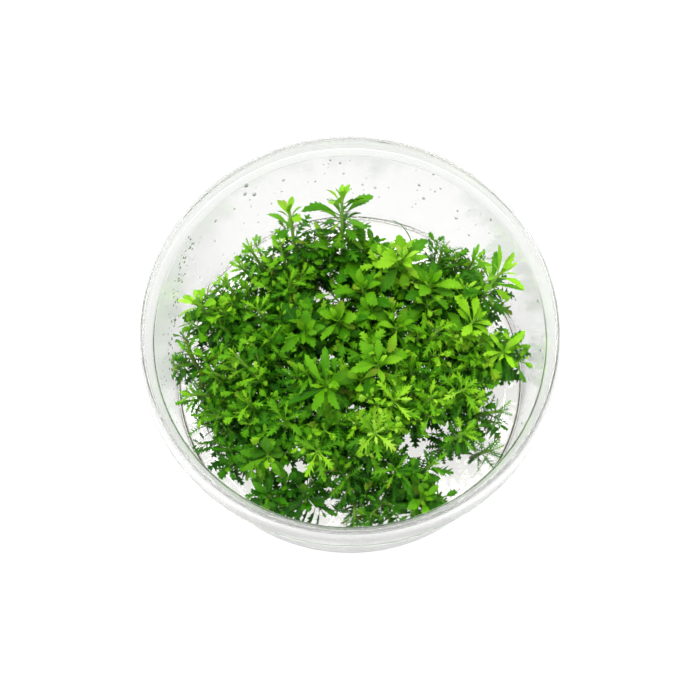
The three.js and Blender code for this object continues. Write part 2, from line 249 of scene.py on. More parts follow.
# The plants: tip x, y and height, first leaf's heading in degrees, leaf size, leaf form, brightness, and
# the root's x and y where the stem leans more than its neighbours do.
PLANTS = (
    (-2, 37, 36, 20, 1.1, "broad", 0.75, -2, 14),
    (-15, 34, 34, 70, 0.78, "broad", 0.72, -12, 18),
    (-25, 27, 27, 10, 0.85, "comb", 0.70),
    (-31, 19, 25, 50, 0.8, "comb", 0.66),
    (-38, 14, 23, 15, 0.95, "broad", 0.78),
    (-15, 18, 28, 35, 0.95, "comb", 0.55),
    (-23, 12, 25, 80, 0.85, "comb", 0.60),
    (13, 23, 31, 60, 1.12, "broad", 0.85),
    (20, 17, 29, 10, 1.1, "broad", 0.62),
    (23, 27, 25, 45, 0.85, "feather", 0.40),
    (37, 18, 34, 75, 1.15, "lance", 0.84, 26, 10),
    (31, 25, 24, 30, 0.75, "lance", 0.62),
    (31, 8, 28, 25, 1.0, "broad", 0.78),
    (22, 5, 29, 0, 0.92, "comb", 0.72),
    (38, 0, 27, 65, 0.95, "lance", 0.72),
    (-28, -1, 27, 30, 0.9, "comb", 0.66, -17, -9),
    (-20, 4, 25, 55, 1.05, "comb", 0.52),
    (-41, 3, 19, 85, 0.8, "comb", 0.66),
    (-39, -9, 20, 40, 0.85, "comb", 0.74),
    (-6, -10, 30, 5, 1.2, "lance", 0.55),
    (-16, -17, 25, 75, 1.15, "comb", 0.48),
    (-8, -26, 28, 30, 1.0, "comb", 0.72),
    (-20, -26, 23, 60, 1.0, "broad", 0.58),
    (-20, -34, 17, 20, 0.9, "broad", 0.40),
    (6, -22, 31, 15, 1.15, "comb", 0.82),
    (7, -4, 30, 50, 1.05, "broad", 0.66),
    (11, -13, 29, 80, 1.0, "comb", 0.80),
    (20, -12, 28, 35, 0.95, "comb", 0.72),
    (28, -10, 27, 70, 0.95, "comb", 0.78),
    (28, -20, 24, 10, 0.9, "comb", 0.72),
    (37, -13, 19, 55, 0.8, "feather", 0.52),
    (35, -22, 15, 25, 0.8, "feather", 0.50),
    (20, -27, 20, 0, 0.85, "comb", 0.62),
    (18, -35, 18, 65, 0.95, "broad", 0.64),
    (-11, -35, 15, 40, 0.95, "broad", 0.34),
    (1, -39, 14, 85, 0.85, "comb", 0.45),
    (10, -36, 16, 20, 0.8, "feather", 0.42),
    (-30, -22, 17, 50, 0.85, "comb", 0.45),
    (-32, 8, 22, 0, 0.85, "feather", 0.40),
    (-34, -4, 22, 75, 0.9, "comb", 0.58),
    (-33, -15, 20, 30, 1.0, "comb", 0.55),
    (-11, 5, 27, 60, 1.05, "broad", 0.42),
    (-3, 8, 28, 15, 1.0, "broad", 0.50),
    (-13, -6, 26, 85, 1.0, "comb", 0.45),
    (12, 6, 28, 40, 1.05, "broad", 0.58),
    (3, 16, 28, 70, 1.1, "broad", 0.50),
    (-9, 27, 26, 25, 0.9, "feather", 0.45),
    (4, 27, 27, 55, 0.95, "broad", 0.50),
    (-3, -18, 27, 45, 0.9, "feather", 0.45),
    (11, -29, 23, 30, 1.0, "comb", 0.42),
    (-1, -31, 21, 75, 0.85, "feather", 0.42),
    (-25, -12, 24, 20, 1.0, "comb", 0.60),
    (15, -4, 27, 5, 0.9, "feather", 0.48),
    (31, -2, 25, 35, 0.85, "feather", 0.50),
    (-37, -15, 15, 10, 0.7, "feather", 0.45),
)

# Drops of condensed water on the inner wall: heading in degrees from +X, height and radius.
DROPS = (
    (148, 34.0, 0.55), (151, 32.6, 0.5), (152, 31.6, 0.45), (156, 30.8, 0.4), (161, 23.2, 0.55),
    (166, 18.8, 0.5), (172, 18.0, 0.45), (181, 14.2, 0.5), (136, 32.5, 0.5), (123, 38.4, 0.78),
    (121, 31.5, 0.70), (124, 34.5, 0.62), (111, 32.0, 0.5), (112, 26.5, 0.4), (101, 26.8, 0.35),
    (96, 37.2, 0.4), (93, 35.2, 0.45), (92, 29.5, 0.4), (86, 23.5, 0.4), (82, 22.5, 0.45),
    (64, 38.6, 0.4), (68, 30.0, 0.5), (61, 33.0, 0.35), (66, 23.8, 0.55), (54, 26.8, 0.4),
    (54, 22.5, 0.5), (48, 18.8, 0.4), (42, 36.0, 0.45), (36, 28.5, 0.5), (12, 36.8, 0.45),
    (358, 33.0, 0.45), (354, 37.0, 0.4), (22, 17.0, 0.4), (14, 11.2, 0.4), (116, 22.2, 0.35),
)
# Fine drops all round the wall: their number, their middle radius, the lowest one's height and their range.
MIST_DROPS = 200
MIST_RADIUS = 0.2
MIST_LOWEST = 7
MIST_RANGE = 30
# Smaller drops crowd together on the left of the wall, lower down where they are further round.
CROWD_DROPS = 90
CROWD_RADIUS = 0.3
CROWD_HEADING = (146, 184)
CROWD_HEIGHT = (12, 35)
CROWD_SCATTER = 0.4
# A drop's rings, by how far they stand out and spread as shares of its radius, how flat and how tall the
# drop is, its corners, and how far it reaches into the wall.
DROP_RISE = np.array([-0.1, 0.35, 0.75, 1.0])
DROP_SPREAD = np.array([0.92, 0.95, 0.62, 0.12])
DROP_FLATNESS = 0.7
DROP_TALLNESS = 1.25
DROP_CORNERS = 8
DROP_TOUCH = 0.02
# The film of mist: its lower and upper ends, and how far it stands out from the wall and reaches into it.
FILM_LOW = GEL_TOP + 0.2
FILM_HIGH = WALL_TOP_HEIGHT - 0.2
FILM_DEPTH = 0.05
FILM_TOUCH = 0.03

# Painted shade: leaves below this height are painted darkest, and they lighten over the rise above it.
PAINTED_SHADE_HEIGHT = 7.0
PAINTED_SHADE_RISE = 16.0
# The tone of a leaf is its plant's brightness times two factors, one by its age and one by its height as
# painted
# shade: the least value and what is added at most. Youth fades with the distance below the tip, over a
# length.
# Chance adds or takes a little.
AGE_TONE = (0.35, 0.85)
PAINTED_SHADE_TONE = (0.25, 0.75)
YOUTH_LENGTH = 4.0
TONE_SPREAD = 0.3
# A stem's tone, from its plant's brightness.
STEM_TONE = (0.3, 0.6)
# Leaves whose chance is above this have a reddish tip, full from a little further up.
BLUSH_START = 0.93
BLUSH_GAIN = 14
# Painted shade: lower leaves and those of side shoots are painted a little darker than their plant's own.
LOW_PAINTED_SHADE = 0.8
SHOOT_PAINTED_SHADE = 0.95

# Where the wall's left and right start to be misted, as x over the distance from the axis, and how fast the
# mist thickens from there.
MISTED_LEFT = (-0.55, 3.0)
MISTED_RIGHT = (0.80, 3.5)

# The white room's brightness as it is seen in clear things, near the floor and overhead, how fast it grows
# with the height looked at, and its brightness as it lights the plants.
ROOM_LOW = 0.22
ROOM_SEEN = 0.80
ROOM_GROWTH = 1.5
ROOM_LIGHT = 0.55
# The white floor: its side and how far below the cup it lies, in metres, and how bright it looks.
STUDIO_SIZE = 6
STUDIO_DROP = 0.0002
STUDIO_GLOW = 0.96
# The soft lamp: its side and place in metres, its tilt in degrees and its power.
LAMP_SIZE = 0.7
LAMP_PLACE = (-0.15, 0.25, 0.95)
LAMP_TILT = (-14, -9, 0)
LAMP_POWER = 12.0

# The camera stands where the photograph was taken from, and sees a frame of 700 pixels.
CAMERA_HEIGHT_ANGLE = 72.12
CAMERA_DISTANCE = 550.0
CAMERA_AIM = (0.0, 2.64, 20.0)
FRAME_PIXELS = 700
FOCAL_PIXELS = 2200.0
SENSOR = 36.0


def scatter(a, b):
    """A number from 0 to 1: the fraction left of a large sine, the same each time for the same pair."""
    wave = np.sin(np.asarray(a) * 12.9898 + np.asarray(b) * 78.233) * 43758.5453
    return wave - np.floor(wave)


def grown(limits, share):
    """The least value, and a share of what can be added to it."""
    return limits[0] + limits[1] * share


def wall_radius(height):
    """The inner wall's radius at a height: straight from the wall's foot to its top."""
    share = (height - WALL_FOOT_HEIGHT) / (WALL_TOP_HEIGHT - WALL_FOOT_HEIGHT)
    return WALL_FOOT_RADIUS + np.clip(share, 0, 1) * (WALL_TOP_RADIUS - WALL_FOOT_RADIUS)


def unit(vectors):
    """Each vector divided by its length."""
    return vectors / np.linalg.norm(vectors, axis=-1, keepdims=True)


def tube_faces(rings, corners, copies=1):
    """Faces of tubes made of rings laid one after the other: sides of four corners, and two end caps.

    The copies are tubes of the same form whose points follow one another.
    """
    ring = np.arange(rings - 1)[:, None] * corners
    corner = np.arange(corners)[None, :]
    ahead = (corner + 1) % corners
    sides = np.stack([ring + corner, ring + ahead, ring + corners + ahead, ring + corners + corner], -1)
    first = np.arange(corners)[::-1][None]
    last = np.arange(corners)[None] + (rings - 1) * corners
    start = np.arange(copies)[:, None, None] * rings * corners
    parts = (sides.reshape(-1, 4), first, last)
    return [(part[None] + start).reshape(-1, part.shape[-1]) for part in parts]


def make_piece(name, points, faces, materials, slots=0, data=None, smooth_angle=50):
    """A mesh piece that rides on the object: points in millimetres, and faces as arrays of corners.

    The slots are each face's place in the materials, and the data are four numbers for each point.
    """
    mesh = bpy.data.meshes.new(name)
    mesh.from_pydata((points * MM).tolist(), [], [face for group in faces for face in group.tolist()])
    for material in materials:
        mesh.materials.append(material)
    count = len(mesh.polygons)
    mesh.polygons.foreach_set("material_index", np.zeros(count, dtype=int) + slots)
    mesh.polygons.foreach_set("use_smooth", np.ones(count, dtype=bool))
    mesh.set_sharp_from_angle(angle=math.radians(smooth_angle))
    if data is not None:
        layer = mesh.attributes.new("leaf_data", "FLOAT_COLOR", "POINT")
        layer.data.foreach_set("color", data.astype(np.float32).ravel())
    piece = bpy.data.objects.new(name, mesh)
    bpy.context.scene.collection.objects.link(piece)
    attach(piece, BODY)
    return piece


# Plants


class Stem:
    """A stem as a quadratic curve from its root to its tip, drawn towards one bend between them."""

    def __init__(self, number, root, bend, tip):
        self.number = number
        self.root = np.asarray(root, dtype=float)
        self.bend = np.asarray(bend, dtype=float)
        self.tip = np.asarray(tip, dtype=float)
        self.span = float(np.linalg.norm(self.tip - self.root))

    def point(self, share):
        """Points at shares of the way: the mean of root, bend and tip by the curve's three weights."""
        s = np.asarray(share, dtype=float)[:, None]
        return (1 - s) ** 2 * self.root + 2 * s * (1 - s) * self.bend + s**2 * self.tip

    def frame(self, share):
        """Unit vectors along the stem and two across it."""
        s = np.asarray(share, dtype=float)[:, None]
        along = unit((1 - s) * (self.bend - self.root) + s * (self.tip - self.bend))
        across = unit(np.array([1.0, 0.0, 0.0]) - along * along[:, :1])
        return along, across, np.cross(along, across)


def main_stem(number, x, y, height, foot):
    """A plant's stem. Its root is near the point below its tip, a little nearer to the cup's middle."""
    lean = (scatter(number, ROOT_SEEDS) - 0.5) * ROOT_SPREAD
    foot = np.array(foot) if foot else np.array([x, y]) * ROOT_PULL + lean
    foot = foot * min(1.0, ROOT_LIMIT / np.linalg.norm(foot))
    root = np.array([*foot, STEM_START])
    tip = np.array([x, y, height], dtype=float)
    bend = root + (tip - root) * STEM_BEND
    bend[2] = STEM_START + (height - STEM_START) * STEM_UPRIGHT
    return Stem(number, root, bend, tip)


def side_shoot(stem, order):
    """A short shoot that leaves the lower stem outwards and then turns up beside it."""
    number = stem.number + SHOOT_NUMBERS * (order + 1)
    share = np.array([SHOOT_START + SHOOT_STEP * order + SHOOT_START_SPREAD * scatter(number, 1)])
    along, across, side = stem.frame(share)
    angle = np.array([stem.number * PLANT_TURN + order * SHOOT_TURN + scatter(number, 2)])
    out = outward(across, side, angle)[0]
    root = stem.point(share)[0]
    reach = grown(SHOOT_REACH, scatter(number, 3))
    climb = grown(SHOOT_CLIMB, scatter(number, 4)) * (stem.tip[2] - root[2])
    tip = root + out * reach + along[0] * climb
    bend = root + out * reach * SHOOT_BEND_OUT + along[0] * climb * SHOOT_BEND_UP
    return Stem(number, root, bend, tip)


def outward(across, side, angle):
    """Unit vectors across the stem, at an angle round it."""
    return across * np.cos(angle)[:, None] + side * np.sin(angle)[:, None]


def leaf_set(stem, tiers, skipped, turn, heading, size, seed):
    """Leaves as arrays: base, way out, width and face directions, length, and what varies between them.

    A tier's leaves stand at equal angles round the stem, each tier turned from the one above, and then
    every leaf's angle, rise, length and form change a little by chance. The first tiers can be skipped.
    """
    tiers = np.array([row for row in tiers if row[0] < stem.span - TIER_END], dtype=float).reshape(-1, 5)
    counts = tiers[:, 1].astype(int)
    counts[:skipped] = 0
    tier = np.repeat(np.arange(len(tiers)), counts)
    side = np.arange(counts.sum()) - np.repeat(np.cumsum(counts) - counts, counts)
    below, count, length, rise, droop = tiers[tier].T
    seeds = seed + tier * 4 + side

    def chance(what):
        return scatter(stem.number, seeds + SEEDS[what])

    facet = heading + tier * turn + side * TURN / count
    share = 1 - below / stem.span
    along, across, flank = stem.frame(share)
    angle = facet + np.radians((chance("turn") - 0.5) * TURN_SPREAD)
    lift = np.radians(rise + (chance("rise") - 0.5) * RISE_SPREAD)
    out = outward(across, flank, angle)
    way = out * np.cos(lift)[:, None] + along * np.sin(lift)[:, None]
    width = outward(across, flank, angle + math.pi / 2)
    return {
        "base": stem.point(share) + outward(across, flank, facet) * STEM_RADIUS * LEAF_ROOT,
        "way": way,
        "width": width,
        "face": np.cross(way, width),
        "length": length * size * (1 + (chance("length") - 0.5) * LENGTH_SPREAD),
        "droop": droop,
        "sweep": (chance("sweep") - 0.5) * SWEEP_SPREAD,
        "twist": (chance("twist") - 0.5) * TWIST_SPREAD,
        "bow": grown(LEAF_BOW, chance("bow")),
        "fold": grown(LEAF_FOLD, chance("fold")),
        "wide": grown(LEAF_WIDTH, chance("width")),
        "below": below,
        "chance": chance("tone"),
    }


def leaf_outline(form):
    """Shares along the leaf for the midrib and the edge, and the edge's share of the half width.

    The edge widens smoothly from a narrow stalk to the shoulder and rounds off to the tip. Each tooth or
    lobe is a step from the cut-back edge out to a point that leans forward, and back again.
    """
    _, lobes, first, last, depth, lean, base, widens = LEAF_FORMS[form]

    def envelope(u):
        grow = np.clip((u - widens) / (SHOULDER - widens), 0, 1)
        narrow = np.clip((u - SHOULDER) / (1 - SHOULDER), 0, 1)
        return (STALK_WIDTH + (1 - STALK_WIDTH) * grow**2 * (3 - 2 * grow)) * (1 - narrow**TIP_CURVE)

    def cut(u, share):
        return max(CUT_WIDTH, envelope(u) * (1 - depth * share))

    pitch = (last - first) / lobes
    stalk = first * 0.5
    rows = [(0.0, 0.0, STALK_WIDTH), (stalk, stalk, max(STALK_WIDTH, cut(stalk, base < 1)))]
    for lobe in range(lobes):
        start = first + lobe * pitch
        point = start + pitch * base * 0.5
        rows.append((start, start, cut(start, 1 if lobe or base < 1 else FIRST_CUT)))
        rows.append((point, point + lean, envelope(start + pitch * 0.5) * POINT_WIDTH))
        if base < 1:
            end = start + pitch * base
            rows.append((end, end, cut(end, 1)))
    rows.append((last, last + lean * LAST_LEAN, cut(last, LAST_CUT)))
    rows.append((1.0, 1.0, TIP_WIDTH))
    return np.array(rows).T


def leaf_blades(leaves, form, brightness, folded=True):
    """Closed thin blades: rings of four points (left edge, underside, right edge, top) along each midrib.

    The midrib bows up, sweeps to one side and falls with the square of the way along it, the edges fold
    up from it, and the blade turns about it towards its tip. A blade that isn't folded has no underside
    point, and its edges bend down.

    A point's data are the leaf's tone with its painted shade, and blush, the share of the way along, and 1
    at the edges.
    """
    mid, edge, wide = leaf_outline(form)
    column = {key: value[:, None] for key, value in leaves.items() if value.ndim == 1}
    vector = {key: leaves[key][:, None, :] for key in ("base", "way", "width", "face")}
    length = column["length"]

    def midrib(share):
        s = share[None, :]
        line = vector["base"] + vector["way"] * (s * length)[..., None]
        line += vector["width"] * (column["sweep"] * s**2 * length)[..., None]
        line += vector["face"] * (column["bow"] * s * (1 - s) * length)[..., None]
        line[..., 2] -= column["droop"] * s**2 * length
        return line

    turn = (column["twist"] * edge[None, :])[..., None]
    width = vector["width"] * np.cos(turn) + vector["face"] * np.sin(turn)
    face = vector["face"] * np.cos(turn) - vector["width"] * np.sin(turn)
    half = (length * LEAF_FORMS[form][0] * column["wide"] * wide[None, :])[..., None]
    raised = face * (column["fold"][..., None] * half) * (1 if folded else -1)
    thick = (BLADE_THICKNESS * (1 - BLADE_THINNING * mid))[None, :, None] * np.ones_like(half)
    left = midrib(edge) + width * half + raised
    right = midrib(edge) - width * half + raised
    top = midrib(mid) + face * thick
    under = midrib(mid) - face * thick
    if folded:
        ring, place = [left, under, right, top], [edge, mid, edge, mid]
    else:
        ring, place = [left, right, top], [edge, edge, mid]
    points = np.stack(ring, axis=2)
    count, rings, corners = points.shape[:3]
    youth = np.exp(-column["below"] / YOUTH_LENGTH)
    # Painted shade: the lower a leaf stands in the clump, the darker its tone.
    out_of_painted_shade = np.clip((leaves["base"][:, 2:] - PAINTED_SHADE_HEIGHT) / PAINTED_SHADE_RISE, 0, 1)
    tone = brightness * grown(AGE_TONE, youth) * grown(PAINTED_SHADE_TONE, out_of_painted_shade)
    tone = tone + TONE_SPREAD * (column["chance"] - 0.5)
    blush = np.clip((column["chance"] - BLUSH_START) * BLUSH_GAIN, 0, 1)
    data = np.ones((count, rings, corners, 4))
    data[..., 0] = np.clip(tone, 0, 1)[..., None]
    data[..., 1] = blush[..., None]
    data[..., 2] = np.stack(place, -1)[None]
    data[..., 3] = np.array([side is edge for side in place], dtype=float)
    return points.reshape(-1, 3), tube_faces(rings, corners, count), data.reshape(-1, 4)


def stem_tube(stem, steps, corners, root_radius, tip_radius, sunk, brightness):
    """A round stem that narrows from its root to its bud, as rings across the curve.

    A point's data are the stem's tone, nothing, the share of the way up, and 1.
    """
    share = np.linspace(0, 1, steps)
    centre = stem.point(share)
    along, across, side = stem.frame(share)
    radius = root_radius + (tip_radius - root_radius) * share
    foot = stem.root - along[0] * sunk
    bud = stem.tip + along[-1] * BUD_HEIGHT
    centre = np.vstack([foot, centre, bud])
    across = np.vstack([across[:1], across, across[-1:]])
    side = np.vstack([side[:1], side, side[-1:]])
    radius = np.concatenate([[root_radius * FOOT_TAPER], radius, [tip_radius * BUD_TAPER]])
    angle = np.arange(corners) * TURN / corners
    ring = across[:, None] * np.cos(angle)[None, :, None] + side[:, None] * np.sin(angle)[None, :, None]
    points = (centre[:, None] + ring * radius[:, None, None]).reshape(-1, 3)
    data = np.ones((len(points), 4))
    data[:, 0] = grown(STEM_TONE, brightness)
    data[:, 1] = 0
    data[:, 2] = np.repeat(np.linspace(0, 1, len(centre)), corners)
    return points, tube_faces(len(centre), corners), data


def make_plant(number, row, leaf, stem_skin):
    """One plant as one piece: its stem, its side shoots and all their leaves.

    Whatever would stand out past the cup's inner wall is drawn in towards the axis until it is clear of it.
    """
    x, y, height, heading, size, form, brightness, *foot = row
    stem = main_stem(number, x, y, height, foot)
    heading = math.radians(heading)
    main_tiers = 5 if height >= TALL_PLANT else 3 if height <= SHORT_PLANT else 4
    size_drawn = size * LEAF_SHARES[form]
    old_form = "feather" if form == "feather" else "comb"
    young = leaf_set(stem, MAIN_TIERS[:YOUNG_TIERS], 0, MAIN_TURN, heading, size_drawn, 0)
    old = leaf_set(stem, MAIN_TIERS[:main_tiers], YOUNG_TIERS, MAIN_TURN, heading, size_drawn, 0)
    between_tiers = BETWEEN_TIERS[: OPEN_PLANTS.get(number, len(BETWEEN_TIERS))]
    between_heading = heading + BETWEEN_HEADING
    between = leaf_set(stem, between_tiers, 0, BETWEEN_TURN, between_heading, size_drawn, BETWEEN_SEED)
    low = leaf_set(stem, LOW_TIERS, 0, LOW_TURN, heading, LOW_LEAF_SIZES.get(number, 1.0), LOW_SEED)
    tube = stem_tube(stem, STEM_STEPS, STEM_CORNERS, STEM_RADIUS, STEM_TIP_RADIUS, STEM_IN_GEL, brightness)
    # The lower leaves and the side shoots' leaves are given painted shade.
    groups = [
        (leaf_blades(young, form, brightness), 0),
        (leaf_blades(old, old_form, brightness), 0),
        (leaf_blades(between, form, brightness), 0),
        (leaf_blades(low, "low_comb", brightness * LOW_PAINTED_SHADE, folded=False), 0),
        (tube, 1),
    ]
    shoots = [side_shoot(stem, order) for order in range(SHOOT_COUNTS.get(number, SHOOTS))]
    if number == EXTRA_SHOOT_PLANT:
        shoots.append(Stem(number, stem.point([EXTRA_SHOOT_START])[0], *EXTRA_SHOOT_PATH))
    leaf_size = max(size_drawn, SHOOT_LEAF_SIZE)
    for order, shoot in enumerate(shoots):
        leaves = leaf_set(shoot, SHOOT_TIERS, 0, SHOOT_TIER_TURN, order, leaf_size, SHOOT_SEED)
        shoot_form = form if order == 1 and form != "feather" else "comb"
        groups.append((leaf_blades(leaves, shoot_form, brightness * SHOOT_PAINTED_SHADE, folded=False), 0))
        radii = (SHOOT_RADIUS, SHOOT_RADIUS * SHOOT_TAPER)
        groups.append((stem_tube(shoot, SHOOT_RINGS, SHOOT_CORNERS, *radii, SHOOT_SUNK, brightness), 1))
    if number == THREAD_PLANT:
        thread = Stem(number, *THREAD_PATH)
        radii = (THREAD_RADIUS, THREAD_RADIUS * THREAD_TAPER)
        tube = stem_tube(thread, THREAD_RINGS, THREAD_CORNERS, *radii, SHOOT_SUNK, THREAD_BRIGHTNESS)
        groups.append((tube, 1))
    points, faces, data, slots, offset = [], [], [], [], 0
    for (group_points, group_faces, group_data), slot in groups:
        points.append(group_points)
        faces += [part + offset for part in group_faces]
        data.append(group_data)
        slots.append(np.full(sum(len(part) for part in group_faces), slot))
        offset += len(group_points)
    points = np.concatenate(points)
    reach = np.hypot(points[:, 0], points[:, 1])
    limit = wall_radius(points[:, 2]) - WALL_CLEARANCE
    points[:, :2] *= np.minimum(1, limit / np.maximum(reach, 1e-6))[:, None]
    name = f"plant_{number + 1:02d}"
    piece = make_piece(
        f"grown_{name}",
        points,
        faces,
        [leaf, stem_skin],
        slots=np.concatenate(slots),
        data=np.concatenate(data),
    )
    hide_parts(name)


# Cup, gel and drops


def rounded(profile):
    """A profile whose inner corners are rounded: each corner becomes an arc of its own radius.

    The arc is drawn as a quadratic curve that starts and ends one radius away from the corner along its
    two sides, so it leaves each side straight on.
    """
    corners = np.array([row[:2] for row in profile], dtype=float)
    line = [corners[0]]
    for index in range(1, len(profile) - 1):
        radius = profile[index][2]
        here = corners[index]
        if not radius:
            line.append(here)
            continue
        back = unit(corners[index - 1] - here) * radius
        ahead = unit(corners[index + 1] - here) * radius
        for step in np.linspace(0, 1, CORNER_STEPS + 1):
            line.append(here + back * (1 - step) ** 2 + ahead * step**2)
    line.append(corners[-1])
    return np.array(line)


def turned(profile, segments):
    """A closed surface turned about the upright axis, from a profile that starts and ends on the axis."""
    radius, height = profile[1:-1].T
    angle = np.arange(segments) * TURN / segments
    rings = np.stack(
        [
            radius[:, None] * np.cos(angle),
            radius[:, None] * np.sin(angle),
            height[:, None] * np.ones(segments),
        ],
        -1,
    ).reshape(-1, 3)
    poles = np.array([[0, 0, profile[0][1]], [0, 0, profile[-1][1]]])
    count = len(radius)
    ring = np.arange(count - 1)[:, None] * segments
    corner = np.arange(segments)[None, :]
    ahead = (corner + 1) % segments
    quads = np.stack([ring + corner, ring + ahead, ring + segments + ahead, ring + segments + corner], -1)
    low = np.stack([np.full(segments, count * segments), ahead[0], corner[0]], -1)
    top = (count - 1) * segments
    high = np.stack([np.full(segments, count * segments + 1), top + corner[0], top + ahead[0]], -1)
    return np.vstack([rings, poles]), [quads.reshape(-1, 4), low, high]


def make_cup(material):
    """The cup: radius, height and corner radius, from the underside round the rim to the floor."""
    profile = (
        (0, FOOT_RECESS, 0),
        (FOOT_INNER_RADIUS, FOOT_RECESS, 0.3),
        (FOOT_INNER_RADIUS + 0.6, 0, 0.3),
        (BASE_RADIUS - 1, 0, 0.7),
        (BASE_RADIUS, 1.2, 0.7),
        (STEP_RADIUS + 0.3, SKIRT_BOTTOM + 2.4, 0.8),
        (STEP_RADIUS + 0.7, STEP_HEIGHT, 0.6),
        (RIM_RADIUS - 0.3, CUP_HEIGHT - 1.6, 0.3),
        (SKIRT_RADIUS - WALL, SKIRT_BOTTOM, 0.3),
        (SKIRT_RADIUS, SKIRT_BOTTOM, 0.3),
        (RIM_RADIUS + 0.1, CUP_HEIGHT - 0.4, 0.3),
        (RIM_RADIUS - 0.5, CUP_HEIGHT, 0.25),
        (STEP_RADIUS, STEP_HEIGHT, 0.2),
        (WALL_TOP_RADIUS, WALL_TOP_HEIGHT, 0.2),
        (WALL_FOOT_RADIUS, WALL_FOOT_HEIGHT, 0.9),
        (WALL_FOOT_RADIUS - 1.4, FLOOR_TOP, 0.9),
        (0, FLOOR_TOP, 0),
    )
    points, faces = turned(rounded(profile), CUP_SEGMENTS)
    piece = make_piece("moulded_cup", points, faces, [material], smooth_angle=35)
    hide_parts("cup")


def make_gel(material):
    """The gel: a flat disc that lies on the cup's floor and stands a hair clear of its wall.

    Radius, height and corner radius, as in the cup's profile.
    """
    profile = (
        (0, FLOOR_TOP - GEL_TOUCH, 0),
        (WALL_FOOT_RADIUS - 1.4 - GEL_CLEARANCE, FLOOR_TOP - GEL_TOUCH, 0.9),
        (WALL_FOOT_RADIUS - GEL_CLEARANCE, WALL_FOOT_HEIGHT + GEL_CLEARANCE, 0.9),
        (wall_radius(GEL_TOP) - GEL_CLEARANCE, GEL_TOP, 0.1),
        (0, GEL_TOP, 0),
    )
    points, faces = turned(rounded(profile), CUP_SEGMENTS)
    piece = make_piece("set_gel", points, faces, [material], smooth_angle=60)
    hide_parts("gel")


def mist_film():
    """A thin closed film round the inner wall: cuts of four points that follow one another round.

    A cut's points are low and high on the inside, then high and low in the wall.
    """
    heading = np.arange(CUP_SEGMENTS)[:, None] * TURN / CUP_SEGMENTS
    height = np.array([FILM_LOW, FILM_HIGH, FILM_HIGH, FILM_LOW])
    radius = wall_radius(height) + np.array([-FILM_DEPTH, -FILM_DEPTH, FILM_TOUCH, FILM_TOUCH])
    points = np.stack([radius * np.cos(heading), radius * np.sin(heading), height + 0 * heading], -1)
    cut = np.arange(CUP_SEGMENTS)[:, None] * 4
    after = (cut + 4) % (CUP_SEGMENTS * 4)
    corner = np.arange(4)
    ahead = (corner + 1) % 4
    faces = np.stack([cut + corner, cut + ahead, after + ahead, after + corner], -1)
    return points.reshape(-1, 3), faces.reshape(-1, 4)


def make_drops(material, film):
    """Water on the inner wall: drops, and a film of mist that is too fine to see as drops.

    The drops are low domes, each a few rings round an axis that points into the cup. The listed ones come
    first, then the fine ones all round, then the crowd.
    """
    mist = np.arange(MIST_DROPS)
    crowd = np.arange(CROWD_DROPS)
    crowd_heading = CROWD_HEADING[0] + np.ptp(CROWD_HEADING) * scatter(crowd, 4)
    crowd_fall = scatter(crowd, 4) + scatter(crowd, 5) * CROWD_SCATTER - CROWD_SCATTER / 2
    crowd_height = CROWD_HEIGHT[1] - np.ptp(CROWD_HEIGHT) * crowd_fall
    mist_height = MIST_LOWEST + MIST_RANGE * scatter(mist, 2)
    listed_heading, listed_height, listed_size = np.array(DROPS).T
    heading = np.radians(np.concatenate([listed_heading, scatter(mist, 1) * 360, crowd_heading]))
    height = np.concatenate([listed_height, mist_height, crowd_height])
    mist_size = MIST_RADIUS * (0.5 + scatter(mist, 3))
    crowd_size = CROWD_RADIUS * (0.4 + scatter(crowd, 6))
    size = np.concatenate([listed_size, mist_size, crowd_size])
    outwards = np.stack([np.cos(heading), np.sin(heading), np.zeros_like(heading)], -1)
    along = np.stack([-np.sin(heading), np.cos(heading), np.zeros_like(heading)], -1)
    upright = np.array([0.0, 0.0, 1.0])[None]
    centre = outwards * (wall_radius(height) - DROP_TOUCH)[:, None] + upright * height[:, None]
    angle = np.arange(DROP_CORNERS) * TURN / DROP_CORNERS
    ring = along[:, None] * np.cos(angle)[None, :, None]
    ring = ring + upright[:, None] * DROP_TALLNESS * np.sin(angle)[None, :, None]
    spread = size[:, None] * DROP_SPREAD[None]
    rise = size[:, None] * DROP_RISE[None] * DROP_FLATNESS
    points = centre[:, None, None] + ring[:, None] * spread[..., None, None]
    points = points - outwards[:, None, None] * rise[..., None, None]
    points = points.reshape(-1, 3)
    faces = tube_faces(len(DROP_RISE), DROP_CORNERS, len(size))
    film_points, film_faces = mist_film()
    finish = np.repeat([0, 1], [sum(len(part) for part in faces), len(film_faces)])
    faces.append(film_faces + len(points))
    points = np.concatenate([points, film_points])
    make_piece("wall_drops", points, faces, [material, film], finish, smooth_angle=80)


# Materials


